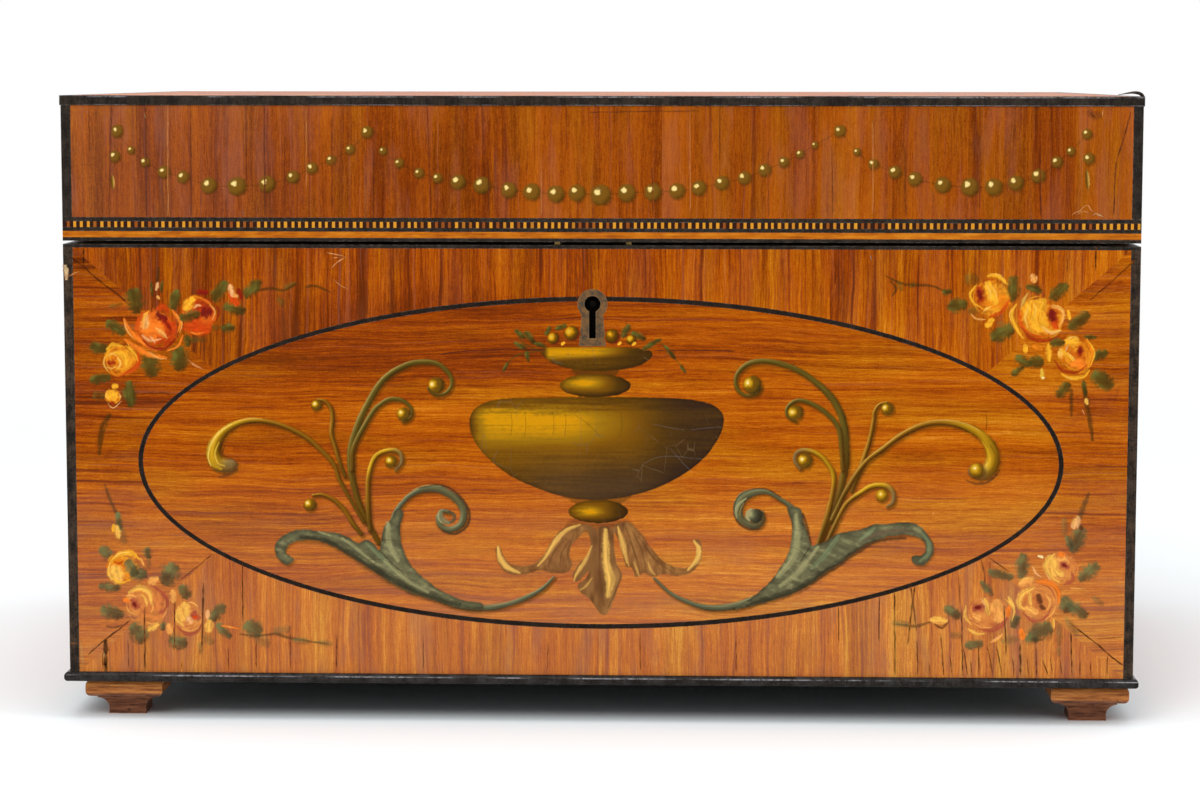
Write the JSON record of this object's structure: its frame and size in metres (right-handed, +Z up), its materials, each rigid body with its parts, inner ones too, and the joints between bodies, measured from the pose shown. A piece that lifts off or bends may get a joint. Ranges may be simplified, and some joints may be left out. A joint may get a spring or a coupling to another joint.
{
  "type": "painted satinwood box with hinged lid",
  "caption": "Rectangular veneered box on moulded block feet, with a hinged lid, box lock, oval and chequer stringing and painted ornament.",
  "frame": {"origin": "on the surface that the feet stand on, under the middle of the box", "axes": "+X to the right as seen from the front with the keyhole, +Y to the back, +Z up"},
  "size_m": [0.3332, 0.2282, 0.1937],
  "materials": {
    "pine_boards": "planed and waxed pine, darkened by age",
    "satinwood_veneer": "golden orange satinwood under old varnish, painted with oils",
    "lid_veneer": "reddish brown satinwood staves under old varnish",
    "ebony_string": "polished ebony, worn to grey at its edges",
    "boxwood_string": "polished yellow boxwood",
    "chequer_stringing": "alternating squares of ebony and boxwood",
    "mahogany_feet": "dark stained mahogany, worn",
    "aged_escutcheon": "grey tarnished brass, flush with the veneer",
    "brass_fittings": "aged brass",
    "steel_pins": "drawn steel wire",
    "steel_screws": "slotted heads, dulled",
    "paper_lining": "faded blue grey lining paper, matte"
  },
  "bodies": {
    "case": {"front_board": "pine_boards", "back_board": "pine_boards", "left_board": "pine_boards", "right_board": "pine_boards", "bottom_board": "pine_boards", "front_oval_panel": "satinwood_veneer", "front_crossband_top": "satinwood_veneer", "front_crossband_bottom": "satinwood_veneer", "front_crossband_left": "satinwood_veneer", "front_crossband_right": "satinwood_veneer", "left_oval_panel": "satinwood_veneer", "left_crossbands": "satinwood_veneer", "right_oval_panel": "satinwood_veneer", "right_crossbands": "satinwood_veneer", "back_veneer": "satinwood_veneer", "front_oval_string": "ebony_string", "left_oval_string": "ebony_string", "right_oval_string": "ebony_string", "case_corner_strings": "ebony_string", "case_rim_string": "ebony_string", "base_moulding_front": "ebony_string", "base_moulding_back": "ebony_string", "base_moulding_left": "ebony_string", "base_moulding_right": "ebony_string", "foot_front_left": "mahogany_feet", "foot_front_right": "mahogany_feet", "foot_back_left": "mahogany_feet", "foot_back_right": "mahogany_feet", "keyhole_escutcheon": "aged_escutcheon", "lock_plate": "brass_fittings", "lock_box": "brass_fittings", "lock_pins": "steel_pins", "hinge_left_case_leaf": "brass_fittings", "hinge_right_case_leaf": "brass_fittings", "hinge_pins": "steel_pins", "case_screws": "steel_screws", "case_wall_lining": "paper_lining", "case_floor_lining": "paper_lining"},
    "lid": {"lid_front_board": "pine_boards", "lid_back_board": "pine_boards", "lid_left_board": "pine_boards", "lid_right_board": "pine_boards", "lid_top_board": "pine_boards", "lid_front_veneer": "lid_veneer", "lid_side_veneers": "lid_veneer", "lid_back_veneer": "lid_veneer", "lid_top_oval_panel": "satinwood_veneer", "lid_top_crossbands": "satinwood_veneer", "lid_top_oval_string": "ebony_string", "lid_corner_strings": "ebony_string", "lid_top_edge_strings": "ebony_string", "lid_ebony_strings": "ebony_string", "lid_boxwood_string": "boxwood_string", "lid_chequer_band": "chequer_stringing", "link_plate": "brass_fittings", "hinge_left_lid_leaf": "brass_fittings", "hinge_right_lid_leaf": "brass_fittings", "lid_screws": "steel_screws", "lid_lining": "paper_lining"},
    "bolt": {"lock_bolt": "brass_fittings"}
  },
  "joints": [
    {"name": "lid_hinge", "type": "hinge", "parent": "case", "child": "lid", "pos_m": [0, 0.1101, 0.1487], "axis": [-1, 0, 0], "range_deg": [0, 95]},
    {"name": "lock_bolt_slide", "type": "slide", "parent": "case", "child": "bolt", "axis": [1, 0, 0], "range_m": [0, 0.0045]}
  ]
}
